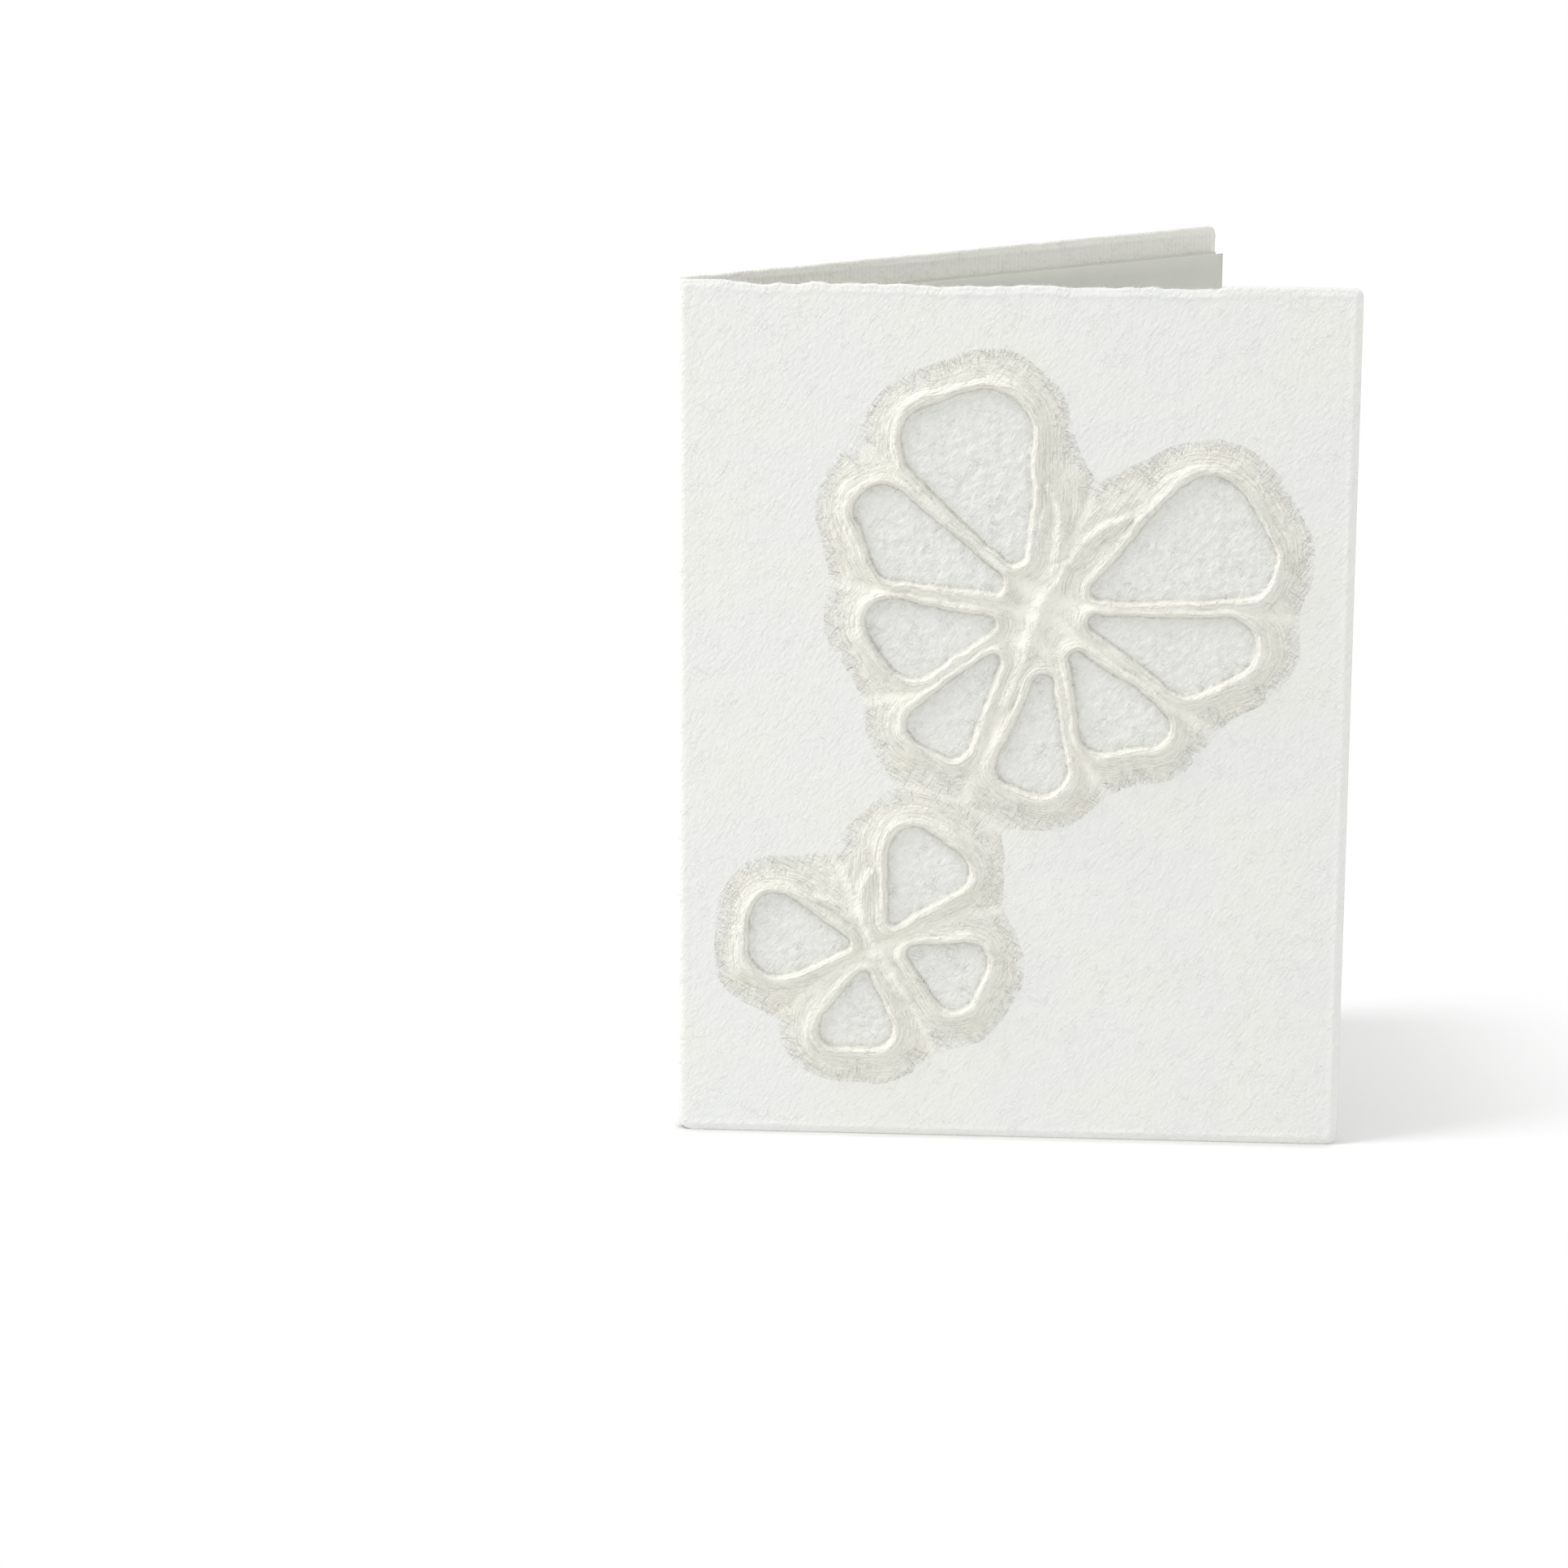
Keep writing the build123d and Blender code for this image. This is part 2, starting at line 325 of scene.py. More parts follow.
pulp = dict(
    cord=(0.878, 0.870, 0.792),
    halo=(0.908, 0.900, 0.828),
    edge=(0.898, 0.880, 0.788),
    streak=(0.850, 0.832, 0.745),
    streakAmount=0.5,
    streakDepth=0.46,
    # painted shade: a dark brown laid along each hollow's edge, where the cord's wall shades the crease
    paintedCreaseShade=(0.56, 0.55, 0.48),
    paintedCreaseShadeAmount=0.38,
    veil=(0.795, 0.802, 0.768),
    veilLight=(0.850, 0.855, 0.825),
    reach=6.4,                      # where the pulp thins away, out from the design
    limit=(6.2, 7.3),               # where the last of it goes
    depths=(0.090, 0.380, 0.240),   # of the fibres, the grain and the lumps
    standsUp=0.06,                  # over the paper, where it covers it
    bump=1.0,
    roughness=0.95,
    specular=0.2,
)


def pulpCover(tree, where, outer, run, calm, edgeNoise):  # 1 on the pulp, 0 past its feathered edge
    patches = smoothNoise(tree, stretched(tree, where, 0, 7.0, 7.0), 1.0)
    outward = addNode(tree, "ShaderNodeCombineXYZ", None, X=run / 0.62, Y=outer / 4.5 + run * 0.12, Z=0.0)
    drift = smoothNoise(tree, stretched(tree, where, 62, 4.0, 0.55), 2.0)
    feather = mixColour(tree, calm, drift, smoothNoise(tree, outward, 2.0, 0.5, 0.6))
    frayed = fibres(tree, where, 52, 5.0, 0.62, 2.2) + fibres(tree, where, -28, 4.4, 0.58, 2.2)
    away = outer - frayed * 1.2 + (patches - 0.5) * 7.0 + (feather - 0.5) * 6.0 + (edgeNoise - 0.5) * 2.0
    cover = 1 - between(tree, away, pulp["reach"] - 4.6, pulp["reach"] - 0.4)
    return cover * (1 - between(tree, outer, *pulp["limit"]))


def makeReliefPulp():
    material, tree, shader = newMaterial("reliefPulp")
    where = objectPlace(tree)
    gap = attribute(tree, "gap")        # out from the nearest hollow
    outer = attribute(tree, "outer")    # out from the whole design
    run = attribute(tree, "run")        # along the cord
    calm = attribute(tree, "calm")      # 0 where two cords meet
    lengthwise = addNode(tree, "ShaderNodeCombineXYZ", None, X=run / 3.4, Y=gap / 0.36, Z=0.0)
    streak = smoothNoise(tree, lengthwise, 3.0, 0.6, 0.6)
    edgeNoise = smoothNoise(tree, stretched(tree, where, 50, 1.3, 0.5), 3.0, 0.6)
    cover = pulpCover(tree, where, outer, run, calm, edgeNoise)
    veil = 1 - between(tree, gap + (edgeNoise - 0.5) * 1.2, -0.6, 0.35)  # 1 in the hollows

    cloud = smoothNoise(tree, stretched(tree, where, 40, 6.0, 3.6), 3.0, 0.6, 0.4)
    cream = mixColour(tree, between(tree, cloud, 0.35, 0.65), pulp["halo"], pulp["cord"])
    outermost = between(tree, outer, 2.5, 5.5) * between(tree, cloud, 0.4, 0.6)
    cream = mixColour(tree, outermost, cream, pulp["edge"])
    streaked = between(tree, streak, 0.52, 0.7) * calm * pulp["streakAmount"]
    cream = mixColour(tree, streaked, cream, pulp["streak"])
    veilMottle = smoothNoise(tree, stretched(tree, where, 35, 1.3, 0.8), 3.0, 0.65)
    veilColour = mixColour(tree, between(tree, veilMottle, 0.35, 0.68), pulp["veil"], pulp["veilLight"])
    # painted shade: the pulp is darkened along the crease at each hollow's edge, broken up by noise
    paintedCreaseShade = 1 - between(tree, (gap + 0.12).absolute(), 0.04, 0.42)
    paintedCreaseShade = paintedCreaseShade * between(tree, edgeNoise, 0.32, 0.58) * pulp["paintedCreaseShadeAmount"]
    laidAndShaded = mixColour(tree, paintedCreaseShade, mixColour(tree, veil, cream, veilColour), pulp["paintedCreaseShade"])
    colour = mixColour(tree, cover, paperColour(tree, where), laidAndShaded)

    wet = paperHeight(tree, where, pulp["depths"]) + streak * (1 - veil) * calm * (pulp["streakDepth"] * mm)
    bare = paperHeight(tree, where, paper["depths"])
    height = bare * (1 - cover) + (wet + pulp["standsUp"] * mm) * cover
    finishMaterial(tree, shader, pulp, colour, height)
    return material


basePaper = makeBasePaper()
reliefPulp = makeReliefPulp()
print("paper and pulp made")


# folded card
def makeFoldedCard():
    us = [-u for u in reversed(spread(halfBend, halfBend + panelFlat, 0.28, 1.25, 3.5))]
    us += spread(-halfBend, halfBend, 0.3, 0.3, 1)[1:-1]
    us += spread(halfBend, halfBend + panelFlat, 0.25, 0.38, 2.5)
    vs = [v / card["height"] for v in spread(0, card["height"], 0.24, 2.2, 9.0)]
    bm = bmesh.new()
    insideLayer = bm.verts.layers.float.new("inside")
    alongLayer = bm.verts.layers.float.new("along")
    bmesh.ops.create_grid(bm, x_segments=len(us) - 1, y_segments=len(vs) - 1, size=0.5)
    made = bmesh.ops.extrude_face_region(bm, geom=bm.faces[:], use_keep_orig=True)
    inner = {v for v in made["geom"] if isinstance(v, bmesh.types.BMVert)}
    limits = [edges(u) for u in us]
    for vert in bm.verts:
        i = round((vert.co.x + 0.5) * (len(us) - 1))
        j = round((vert.co.y + 0.5) * (len(vs) - 1))
        u = us[i]
        lowest, highest = limits[i]
        v = lowest + (highest - lowest) * vs[j]
        margin = min(v - lowest, highest - v, halfBend + panelFlat - abs(u))
        full = smooth(-0.2, card["rimWidth"], margin) ** 0.7
        half = card["rimThickness"] / 2 + (card["thickness"] - card["rimThickness"]) / 2 * full
        lip = math.exp(-((margin - card["rimWidth"]) / 0.4) ** 2)
        half += card["lipHeight"] * lip * (0.7 + 0.7 * grain(u, v, 9.0, 2.0))
        if abs(u) > halfBend + card["tornStart"]:
            fluff = max(0.0, 0.5 + grain(u, v, 1.4, 4.0) + 0.6 * grain(u, v, 6.0, 3.0))
            half += card["tuftHeight"] * math.exp(-((highest - v - 0.35) / 0.3) ** 2) * fluff
        vert[insideLayer] = 1.0 if vert in inner and u < 0 else 0.0
        vert[alongLayer] = u
        vert.co = place(u, v, -half if vert in inner else half)
    bmesh.ops.recalc_face_normals(bm, faces=bm.faces[:])
    return finishPiece("foldedCard", bm, basePaper, "folded_card")


foldedCard = makeFoldedCard()
print("folded card made", len(foldedCard.data.polygons))


# raised design: two butterflies, each with wings on one side and their mirror images on the other
design = dict(
    cordHeight=1.10,
    crestOut=0.80,          # how far the cord's crest lies from the hollow's edge
    layer=0.30,             # pulp between cords
    veil=0.09,              # pulp in the hollows
    tallest=1.25,
    reach=7.4,              # how far the pulp spreads
    ragged=2.2,             # and how unevenly
    wander=0.75,            # how far the cords stray from a drawn line
    soften=2.4,             # how softly the design's parts merge, seen from outside it
    bodyRadius=1.5,
    tailRadius=1.0,
    feelerWidth=1.7,
    spacing=0.36,           # between the mesh's points
    lineStep=0.3,           # between the points of a hollow's outline
    barStep=0.4,            # and along bodies and feelers
    # middle, tilt, wings as three circles (out, up, radius) that a line runs round, the body's head
    # and tail, and three points of a feeler
    butterflies=(
        ((4.0, 16.5), -21.0,
         (((7.8, 10.0, 1.8), (27.0, 23.0, 6.8), (20.0, 28.0, 7.4)),
          ((9.4, 4.4, 1.6), (26.5, 2.4, 4.4), (31.5, 8.6, 5.0)),
          ((8.2, -2.8, 1.5), (17.5, -12.2, 4.4), (23.5, -9.2, 4.2)),
          ((4.9, -8.8, 1.5), (5.8, -24.0, 3.6), (10.4, -23.0, 4.2))),
         (11.5, -15.0), ((1.2, 12.5), (3.2, 18.5), (7.4, 23.0))),
        ((-22.0, -42.0), 28.0,
         (((5.2, 4.8, 1.4), (16.2, 8.6, 4.6), (13.2, 13.0, 4.8)),
          ((4.8, -2.8, 1.3), (8.0, -11.4, 3.8), (12.2, -8.4, 4.0))),
         (6.0, -8.0), ((1.0, 6.8), (2.4, 11.0), (5.0, 13.6))),
    ),
)
panelMiddle = Vector((panelFlat - card["width"] / 2, card["height"] / 2))


def outline(circles):  # points and outward normals of a line round three circles
    count = len(circles)
    leans = []
    for i in range(count):
        (xa, ya, ra), (xb, yb, rb) = circles[i], circles[(i + 1) % count]
        run = Vector((xb - xa, yb - ya))
        leans.append(math.atan2(run.y, run.x) - math.acos((ra - rb) / run.length))
    samples = []
    for i in range(count):
        (xa, ya, ra), (xb, yb, rb) = circles[i], circles[(i + 1) % count]
        n = Vector((math.cos(leans[i]), math.sin(leans[i])))
        start = Vector((xa, ya)) + n * ra
        end = Vector((xb, yb)) + n * rb
        pieces = max(1, round((end - start).length / design["lineStep"]))
        samples += [(start.lerp(end, k / pieces), n) for k in range(pieces)]
        sweep = (leans[(i + 1) % count] - leans[i]) % (2 * math.pi)
        pieces = max(1, round(sweep * rb / design["lineStep"]))
        for k in range(pieces):
            a = leans[i] + sweep * k / pieces
            n = Vector((math.cos(a), math.sin(a)))
            samples.append((Vector((xb, yb)) + n * rb, n))
    return samples


def bentLine(points):  # a curve through three points
    a, b, c = (Vector(p) for p in points)
    middle = b * 2 - (a + c) / 2
    count = round(((b - a).length + (c - b).length) / design["barStep"])
    return [a.lerp(middle, k / count).lerp(middle.lerp(c, k / count), k / count) for k in range(count + 1)]


def designLines():
    hollows = []  # outlines of the hollows
    bars = []     # points and radii along the bodies and feelers
    for middle, angle, wings, (head, tail), feeler in design["butterflies"]:
        spin = Matrix.Rotation(math.radians(angle), 2)
        origin = panelMiddle + Vector(middle)
        for circles in wings:
            for side in (1, -1):
                ring = circles if side == 1 else tuple((-x, y, r) for x, y, r in reversed(circles))
                hollows.append([(origin + spin @ p, spin @ n) for p, n in outline(ring)])
        count = round((head - tail) / design["barStep"])
        for k in range(count + 1):
            t = k / count
            radius = design["bodyRadius"] + (design["tailRadius"] - design["bodyRadius"]) * t
            bars.append((origin + spin @ Vector((0, head + (tail - head) * t)), radius))
        for side in (1, -1):
            line = bentLine([(side * x, y) for x, y in feeler])
            for k, p in enumerate(line):
                bars.append((origin + spin @ p, design["feelerWidth"] / 2 * (1 - 0.4 * k / len(line))))
    return hollows, bars


def treeOf(points):
    tree = kdtree.KDTree(len(points))
    for k, point in enumerate(points):
        tree.insert((point.x, point.y, 0), k)
    tree.balance()
    return tree


hollows, bars = designLines()
hollowTrees = [treeOf([p for p, n in ring]) for ring in hollows]
barTree = treeOf([p for p, radius in bars])


def ridged(x, y, size, seed):  # 1 along thin creases, less between them
    return 1 - min(1.0, abs(grain(x, y, size, seed)) * 3.2)


def designAt(x, y):  # where a point of the panel lies in the design
    stray = design["wander"]
    soften = design["soften"]
    wx = x + stray * (grain(x, y, 9.0, 1.0) + 0.35 * grain(x, y, 2.6, 2.0))
    wy = y + stray * (grain(x, y, 9.0, 5.0) + 0.35 * grain(x, y, 2.6, 6.0))
    gap, following, run, together = 99.0, 99.0, 0.0, 0.0  # to the nearest hollow and to the next one
    for r, tree in enumerate(hollowTrees):
        _, index, dist = tree.find((wx, wy, 0))
        point, normal = hollows[r][index]
        if (wx - point.x) * normal.x + (wy - point.y) * normal.y < 0:
            dist = -dist
        if dist < gap:
            following = gap
            gap = dist
            run = min(index, len(hollows[r]) - index) * design["lineStep"] + r * 41.0  # own noise on each
        else:
            following = min(following, dist)
        together += math.exp(-max(dist, -4.0) / soften)
    _, index, barDist = barTree.find((wx, wy, 0))
    radius = bars[index][1]
    together += math.exp(-max(barDist - radius, -4.0) / soften)
    outer = -soften * math.log(together)
    bar = 1 - smooth(radius * 0.1, radius + 0.8, barDist)
    calm = smooth(0.5, 1.9, following - gap)
    return gap, outer, run, bar, calm


def reliefAt(x, y):  # the pulp's height, and what its material reads
    gap, outer, run, bar, calm = designAt(x, y)
    height = design["cordHeight"]
    swell = 0.84 + 0.34 * grain(x, y, 7.0, 4.0) + 0.20 * grain(x, y, 2.4, 4.7)
    rise = smooth(-0.12, 0.5, gap)
    fall = math.exp(-(max(0.0, gap - design["crestOut"]) / (0.95 + 0.6 * grain(x, y, 6.0, 8.0))) ** 2)
    cord = height * max(swell * rise * fall, bar * (0.74 + 0.25 * grain(x, y, 2.6, 9.0)))
    second = 2.2 + 0.8 * grain(run, 0, 7.0, 2.6)  # a lower fold outside the crest, here and there
    folded = max(0.0, 0.35 + 1.3 * grain(run, 0, 11.0, 6.1)) * math.exp(-((gap - second) / 0.55) ** 2)
    cord += height * 0.42 * calm * folded
    creases = calm * ridged(run, gap * 5.0, 3.6, 3.3)
    creases *= smooth(0.2, 0.8, gap) * (1 - smooth(3.0, 6.0, outer))
    layer = design["layer"] * smooth(-0.2, 1.0, gap)
    layer *= 1 - smooth(0.8, design["reach"] - design["ragged"] * (0.6 + grain(x, y, 8.0, 6.6)), outer)
    wrinkle = 0.15 * ridged(x + 0.6 * y, y - 0.3 * x, 2.3, 7.5)
    wrinkle += 0.09 * grain(x, y, 1.1, 3.7) + 0.06 * grain(x, y, 0.7, 1.2)
    groove = 1 - 0.85 * math.exp(-((gap + 0.3) / 0.35) ** 2)
    hollow = (design["veil"] + wrinkle) * groove * (1 - smooth(-0.4, 0.4, gap))
    lumps = 0.09 * grain(x, y, 1.6, 5.0) + 0.05 * grain(x, y, 0.8, 5.9)
    lumps *= 1 - smooth(3.0, design["reach"] - 1, outer)
    total = min(design["tallest"], max(0.01, cord + layer + hollow + 0.13 * creases + lumps))
    return total - 0.05 * smooth(6.0, design["reach"], outer), gap, outer, run, bar, calm


def makeReliefLayer():
    margin = design["reach"] + design["ragged"]
    xs = [p.x for ring in hollows for p, n in ring]
    ys = [p.y for ring in hollows for p, n in ring]
    start = Vector((min(xs) - margin, min(ys) - margin))
    size = Vector((max(xs) + margin, max(ys) + margin)) - start
    columns = round(size.x / design["spacing"])
    rows = round(size.y / design["spacing"])
    bm = bmesh.new()
    gapLayer, outerLayer, runLayer, calmLayer = (
        bm.verts.layers.float.new(name) for name in ("gap", "outer", "run", "calm"))
    bmesh.ops.create_grid(bm, x_segments=columns, y_segments=rows, size=0.5)
    for vert in bm.verts:
        x = start.x + size.x * (vert.co.x + 0.5)
        y = start.y + size.y * (vert.co.y + 0.5)
        height, gap, outer, run, bar, calm = reliefAt(x, y)
        vert[gapLayer] = max(gap, 0.6) if bar > 0.3 else gap  # bodies and feelers have no thin veil
        vert[outerLayer] = outer
        vert[runLayer] = run
        vert[calmLayer] = calm
        vert.co = Vector((x, y, height))
    bare = [f for f in bm.faces if min(v[outerLayer] for v in f.verts) > design["reach"] + 0.2]
    bmesh.ops.delete(bm, geom=bare, context="FACES")
    while True:  # faces that meet the rest at one point only go too
        pinched = [v for v in bm.verts if sum(1 for e in v.link_edges if e.is_boundary) > 2]
        if not pinched:
            break
        bmesh.ops.delete(bm, geom=list({f for v in pinched for f in v.link_faces}), context="FACES")
    rim = [v for v in bm.verts if v.is_boundary]
    for step in range(4):
        bmesh.ops.smooth_vert(bm, verts=rim, factor=0.5, use_axis_x=True, use_axis_y=True)
    skirt = bmesh.ops.extrude_edge_only(bm, edges=[e for e in bm.edges if e.is_boundary])
    lower = {v for v in skirt["geom"] if isinstance(v, bmesh.types.BMVert)}
    for vert in bm.verts:  # the underside lies a little inside the card
        w = card["thickness"] / 2 + (-0.2 if vert in lower else vert.co.z)
        vert.co = place(vert.co.x + halfBend, vert.co.y, w)
    bmesh.ops.triangle_fill(bm, edges=[e for e in bm.edges if e.is_boundary], use_beauty=False)
    bmesh.ops.recalc_face_normals(bm, faces=bm.faces[:])
    return finishPiece("reliefLayer", bm, reliefPulp, "relief_layer")


reliefLayer = makeReliefLayer()
print("relief made", len(reliefLayer.data.polygons))


# folded insert
insert = dict(
    headMargin=4.7,         # below the card's head
    thickness=0.25,
    foldClearance=0.3,
    foreMargin=0.6,
    opening=0.7,            # degrees between its leaves
    leanClearance=0.1,      # degrees off the back panel
    bow=0.35,               # how far the front leaf bellies away from the rear one
    # painted shade: both tones are darker than the paper's own cream, standing in for the shade inside the
    # card
    paleShaded=(0.665, 0.668, 0.605),
    deepShaded=(0.645, 0.650, 0.595),
    depths=(0.006, 0.022, 0.012),
    bump=0.8,
    roughness=0.85,
    specular=0.3,
)


def makeInsertPaper():
    material, tree, shader = newMaterial("insertPaper")
    where = objectPlace(tree)
    mottle = smoothNoise(tree, stretched(tree, where, 30, 6.0, 3.5), 3.0, 0.6)
    # the insert's mottle runs between two tones that carry painted shade
    colour = mixColour(tree, between(tree, mottle, 0.3, 0.7), insert["paleShaded"], insert["deepShaded"])
    finishMaterial(tree, shader, insert, colour, paperHeight(tree, where, insert["depths"]))
    return material


def makeInsertSheet():
    middle = card["foldRadius"] - insert["foldClearance"] - insert["thickness"] / 2  # radius of its bend
    first = math.radians(card["opening"] - insert["leanClearance"] - insert["opening"])
    second = math.radians(card["opening"] - insert["leanClearance"])
    half = middle * (math.pi - (second - first)) / 2
    length = panelFlat - insert["foreMargin"]
    height = card["height"] - insert["headMargin"]
    us = [-u for u in reversed(spread(half, half + length, 0.8, 2.4, 6))]
    us += spread(-half, half, half / 5, half / 5, 1)[1:-1]
    us += spread(half, half + length, 0.8, 2.4, 6)
    bm = bmesh.new()
    bmesh.ops.create_grid(bm, x_segments=len(us) - 1, y_segments=60, size=0.5)
    made = bmesh.ops.extrude_face_region(bm, geom=bm.faces[:], use_keep_orig=True)
    inner = {v for v in made["geom"] if isinstance(v, bmesh.types.BMVert)}
    for vert in bm.verts:
        u = us[round((vert.co.x + 0.5) * (len(us) - 1))]
        v = (vert.co.y + 0.5) * height
        w = -insert["thickness"] / 2 if vert in inner else insert["thickness"] / 2
        along = abs(u) - half
        if along > 0:
            angle = first if u > 0 else second
            belly = math.sin(math.pi * along / length) * (0.6 + 0.4 * grain(along, v, 60.0, 2.0))
            w += insert["bow"] * belly * (1 if u > 0 else 0.15)
            side = -1 if u > 0 else 1
            x = along * math.cos(angle) - side * (middle + w) * math.sin(angle)
            y = along * math.sin(angle) + side * (middle + w) * math.cos(angle)
        else:
            a = first + math.radians(270) - (half - u) / middle
            x = (middle + w) * math.cos(a)
            y = (middle + w) * math.sin(a)
        vert.co = Vector(((foldX + x) * mm, (foldY + y) * mm, v * mm))
    bmesh.ops.recalc_face_normals(bm, faces=bm.faces[:])
    return finishPiece("insertSheet", bm, insertPaper, "insert_sheet")


insertPaper = makeInsertPaper()
insertSheet = makeInsertSheet()
print("insert made", len(insertSheet.data.polygons))


# loose fibres at the torn edge and round the design
strands = dict(
    thickness=0.05,
    haloCount=260,
    haloLength=(1.5, 5.0),
    haloOut=(3.0, 7.5),     # from a hollow's edge
    pulp=(0.87, 0.86, 0.79),
    tornCount=260,
    tornLength=(0.5, 1.3),
    paper=(0.83, 0.83, 0.80),
    roughness=0.9,
)


def strandCurve(name):
    curve = bpy.data.curves.new(name, "CURVE")
    curve.dimensions = "3D"
    curve.bevel_depth = strands["thickness"] * mm
    curve.bevel_resolution = 1
    curve.resolution_u = 3
    curve.use_fill_caps = True
    return curve


def addStrand(curve, points):  # thinner at both ends
    spline = curve.splines.new("NURBS")
    spline.points.add(len(points) - 1)
    for k, (item, point) in enumerate(zip(spline.points, points)):
        item.co = (*point, 1)
        item.radius = 1.0 - 0.55 * abs(2 * k / (len(points) - 1) - 1)
    spline.order_u = 3
    spline.use_endpoint_u = True


def finishStrands(curve, name, material):
    holder = bpy.data.objects.new(name + "Curve", curve)
    bpy.context.scene.collection.objects.link(holder)
    bpy.context.view_layer.update()
    graph = bpy.context.evaluated_depsgraph_get()
    mesh = bpy.data.meshes.new_from_object(holder.evaluated_get(graph))
    bpy.data.objects.remove(holder)
    bm = bmesh.new()
    bm.from_mesh(mesh)
    bmesh.ops.remove_doubles(bm, verts=bm.verts[:], dist=1e-7)
    bmesh.ops.recalc_face_normals(bm, faces=bm.faces[:])
    return finishPiece(name, bm, material)


def makeHaloFibres():
    curve = strandCurve("haloFibres")
    made = 0
    while made < strands["haloCount"]:
        point, normal = rng.choice(rng.choice(hollows))
        start = point + normal * rng.uniform(*strands["haloOut"])
        outer = reliefAt(start.x, start.y)[2]
        if not 2.5 < outer < design["reach"] - 1.5:
            continue
        angle = rng.gauss(0.0, 0.6)
        if rng.random() < 0.6:
            angle += math.pi / 2
        heading = Matrix.Rotation(angle, 2) @ normal
        length = rng.uniform(*strands["haloLength"])
        sideways = Vector((-heading.y, heading.x)) * rng.uniform(-0.8, 0.8)
        points = []
        for t in (0.0, 0.25, 0.5, 0.75, 1.0):
            p = start + heading * (length * (t - 0.5)) + sideways * math.sin(math.pi * t) * length * 0.25
            points.append(place(p.x + halfBend, p.y, card["thickness"] / 2 + reliefAt(p.x, p.y)[0] + 0.01))
        addStrand(curve, points)
        made += 1
    return finishStrands(curve, "haloFibres", pulpFibre)


def makeTornFibres():
    curve = strandCurve("tornFibres")
    for k in range(strands["tornCount"]):
        u = halfBend + rng.uniform(card["tornStart"], card["tornEnd"])
        top = edges(u)[1]
        heading = Vector((rng.gauss(0, 0.8), 1.0)).normalized()
        length = rng.uniform(*strands["tornLength"])
        w = rng.uniform(-0.08, 0.12)
        points = []
        for t in (0.0, 0.4, 0.75, 1.0):
            x = u + heading.x * length * (t - 0.45) + 0.15 * math.sin(3 * t + k)
            v = min(card["height"] - 0.02, top - 0.1 + heading.y * length * (t - 0.55))
            points.append(place(x, v, w + 0.1 * t * math.sin(k * 1.7)))
        addStrand(curve, points)
    return finishStrands(curve, "tornFibres", paperFibre)


def makeFibreMaterial(name, colour):
    material, tree, shader = newMaterial(name)
    tone = smoothNoise(tree, stretched(tree, objectPlace(tree), 30, 3.0, 2.0), 1.0)
    mixed = mixColour(tree, tone, colour, [0.93 * c for c in colour])
    tree.links.new(mixed.out, shader.inputs["Base Color"])
    shader.inputs["Roughness"].default_value = strands["roughness"]
    return material


pulpFibre = makeFibreMaterial("pulpFibre", strands["pulp"])
paperFibre = makeFibreMaterial("paperFibre", strands["paper"])
haloFibres = makeHaloFibres()
tornFibres = makeTornFibres()
print("fibres made", len(haloFibres.data.polygons), len(tornFibres.data.polygons))


# floor, lights and camera
studio = dict(                              # lengths here are in metres
    floorSize=6.0,
    floorColour=(0.82, 0.82, 0.81),         # as it lights the card
    seenColour=(1.0, 1.0, 1.0),             # as it is seen
    paintedContactShadow=(0.30, 0.30, 0.28),       # painted contact shadow, close under the card's foot
    paintedContactShadowReach=0.006,
    whitened=0.18,                          # how far the floor is plain white near the card
    whiteFrom=(0.070, 0.130),               # and how far from its middle it turns to white
    world=0.685,
    lamps=(                                 # name, strength, size, distance, and which way it stands
        ("key", 1.80, 0.62, 1.3, (-0.62, -0.21, 0.76)),
        ("side", 0.33, 0.22, 0.36, (-0.95, -0.32, 0.12)),
        ("fill", 0.42, 0.60, 1.1, (0.72, -0.50, 0.48)),
    ),
    lens=117.65,
    cameraPlace=(0.0146, -0.88555, 0.28369),
    yaw=3.6,                                # degrees, as the pitch and roll are
    pitch=14.527,
    roll=-0.238,
)


def lookedAt(tree):  # 1 for what the camera sees, straight or by gloss or glass, and 0 for other light
    camera, glossy, through = (addNode(tree, "ShaderNodeLightPath", {"output": n}) for n in (0, 3, 6))
    return camera.maths("MAXIMUM", camera.maths("MAXIMUM", camera, glossy), through)


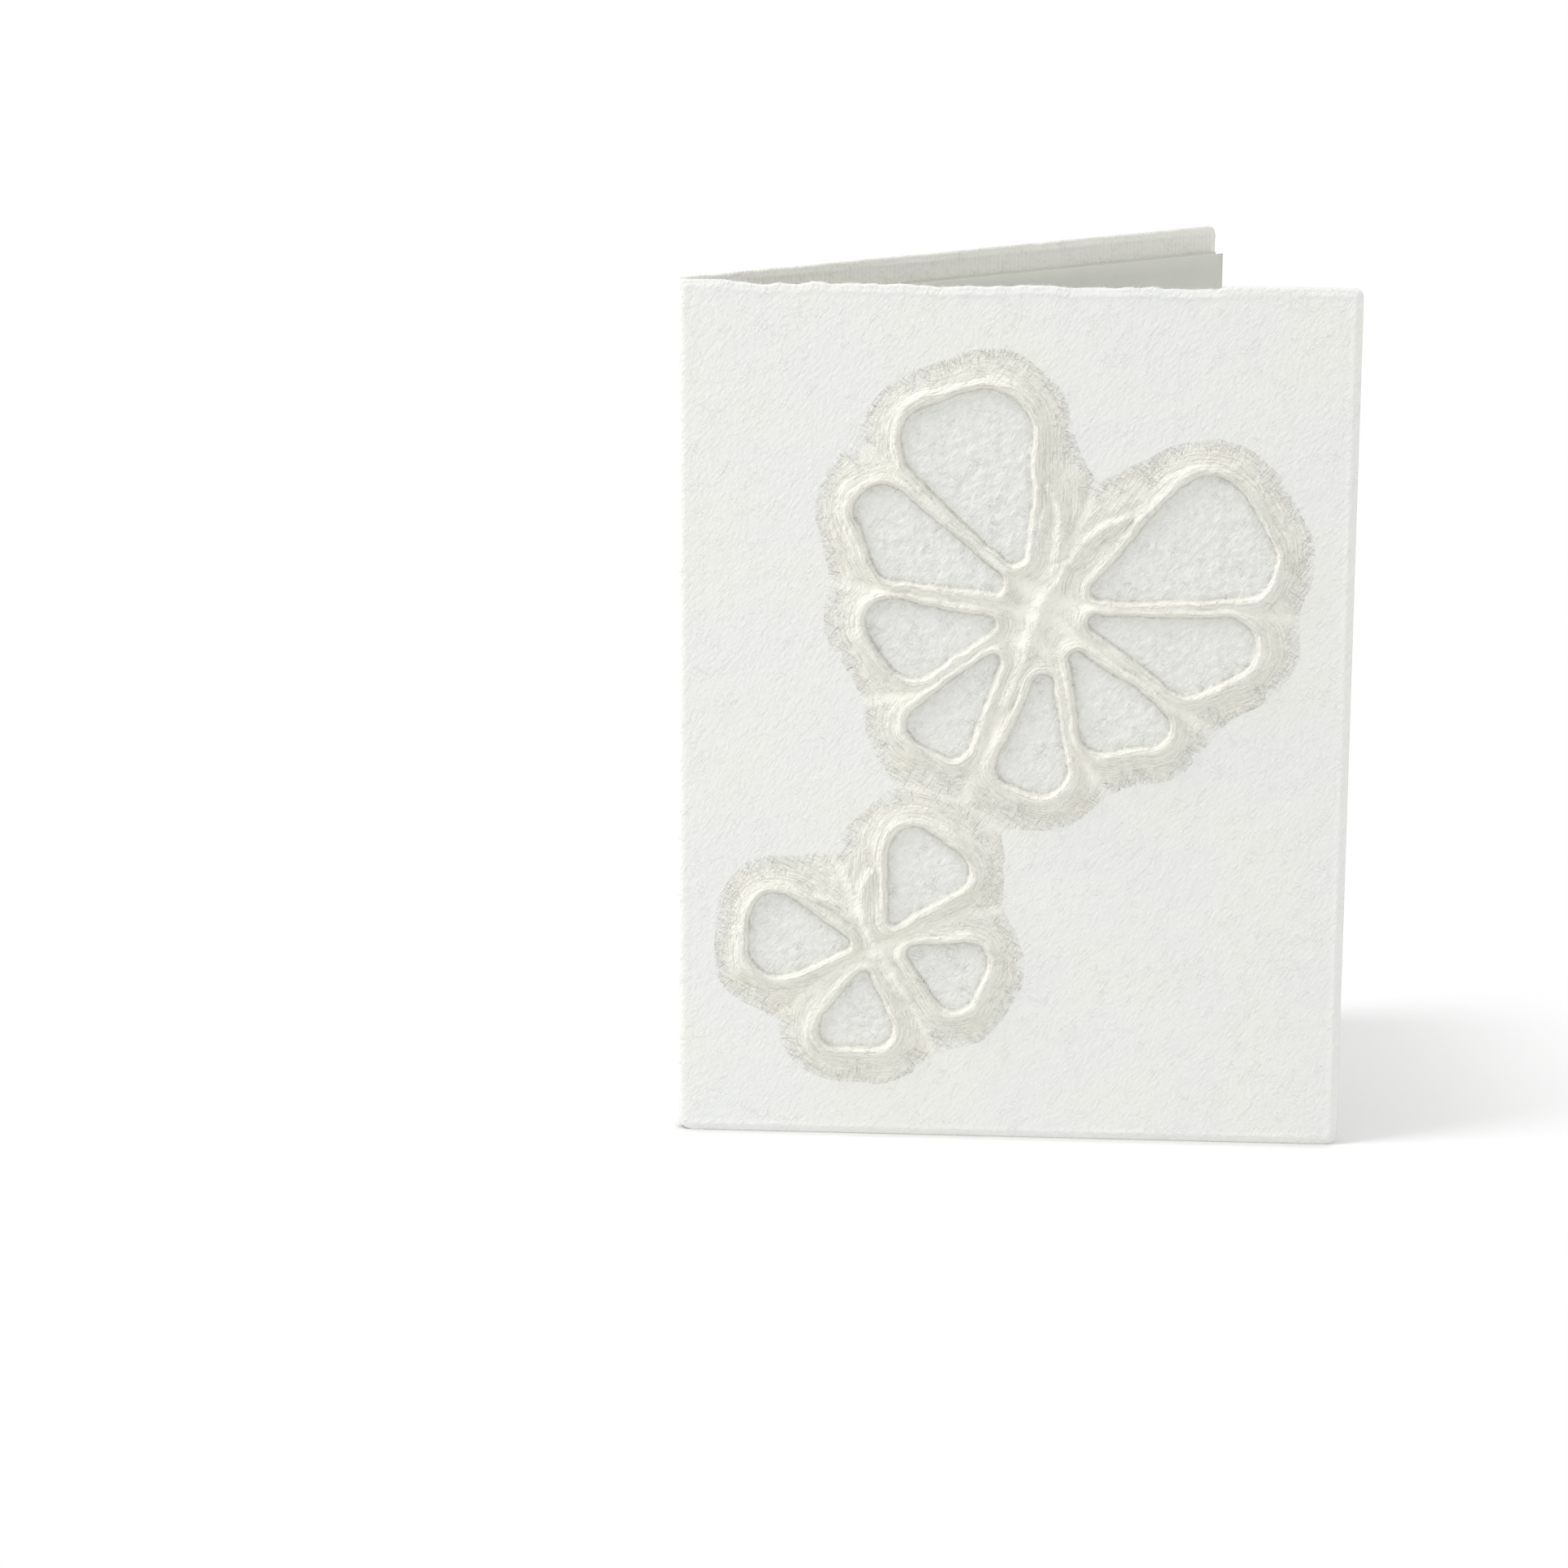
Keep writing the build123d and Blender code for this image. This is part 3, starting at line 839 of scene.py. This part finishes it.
def makeStage():
    bm = bmesh.new()
    bmesh.ops.create_grid(bm, x_segments=1, y_segments=1, size=studio["floorSize"])
    mesh = bpy.data.meshes.new("floor")
    bm.to_mesh(mesh)
    bm.free()
    floor = bpy.data.objects.new("floor", mesh)
    bpy.context.scene.collection.objects.link(floor)
    material = bpy.data.materials.new("floorWhite")
    material.use_nodes = True
    tree = material.node_tree
    tree.nodes.clear()
    seen = lookedAt(tree)
    away = addNode(tree, "ShaderNodeVectorMath", {"operation": "LENGTH", "output": 1}, i0=objectPlace(tree))
    # painted shadow: the floor's seen colour darkens by occlusion right under the card's foot
    near = addNode(tree, "ShaderNodeAmbientOcclusion", {"samples": 8, "output": 1},
                   Distance=studio["paintedContactShadowReach"])
    pale = mixColour(tree, near, studio["paintedContactShadow"], studio["seenColour"])
    colour = mixColour(tree, seen, studio["floorColour"], pale)
    diffuse = addNode(tree, "ShaderNodeBsdfDiffuse", None, Color=colour)
    glow = addNode(tree, "ShaderNodeEmission", None, Color=(1, 1, 1, 1), Strength=1.0)
    fade = between(tree, away, *studio["whiteFrom"]) * (1 - studio["whitened"]) + studio["whitened"]
    mixed = addNode(tree, "ShaderNodeMixShader", None, i0=fade * seen, i1=diffuse, i2=glow)
    surface = tree.nodes.new("ShaderNodeOutputMaterial")
    tree.links.new(mixed.out, surface.inputs[0])
    mesh.materials.append(material)


def makeWorld():
    world = bpy.data.worlds.new("studio")
    bpy.context.scene.world = world
    world.use_nodes = True
    tree = world.node_tree
    tree.nodes.clear()
    level = lookedAt(tree) * (1 - studio["world"]) + studio["world"]
    glow = addNode(tree, "ShaderNodeBackground", None, Color=(1, 1, 1, 1), Strength=level)
    surface = tree.nodes.new("ShaderNodeOutputWorld")
    tree.links.new(glow.out, surface.inputs[0])


def makeLamp(name, strength, size, distance, towards):  # strength as it reaches the card's middle
    lamp = bpy.data.lights.new(name, "AREA")
    lamp.energy = strength * math.pi * distance ** 2
    lamp.shape = "DISK"
    lamp.size = size
    holder = bpy.data.objects.new(name, lamp)
    way = Vector(towards).normalized()
    holder.location = way * distance + Vector((0, 0, card["height"] / 2 * mm))
    holder.rotation_euler = way.to_track_quat("Z", "Y").to_euler()
    bpy.context.scene.collection.objects.link(holder)


def makeCamera():
    data = bpy.data.cameras.new("camera")
    data.lens = studio["lens"]
    data.sensor_width = 36.0
    data.clip_start = 0.01
    data.clip_end = 50
    camera = bpy.data.objects.new("camera", data)
    camera.location = studio["cameraPlace"]
    heading = Matrix.Rotation(math.radians(studio["yaw"]), 3, "Z")
    tilt = Matrix.Rotation(math.pi / 2 - math.radians(studio["pitch"]), 3, "X")
    lean = Matrix.Rotation(-math.radians(studio["roll"]), 3, "Z")
    camera.rotation_euler = (heading @ tilt @ lean).to_euler()
    bpy.context.scene.collection.objects.link(camera)
    bpy.context.scene.camera = camera


makeStage()
makeWorld()
for lampValues in studio["lamps"]:
    makeLamp(*lampValues)
makeCamera()
bpy.context.scene.view_settings.view_transform = "Standard"
print("stage made")
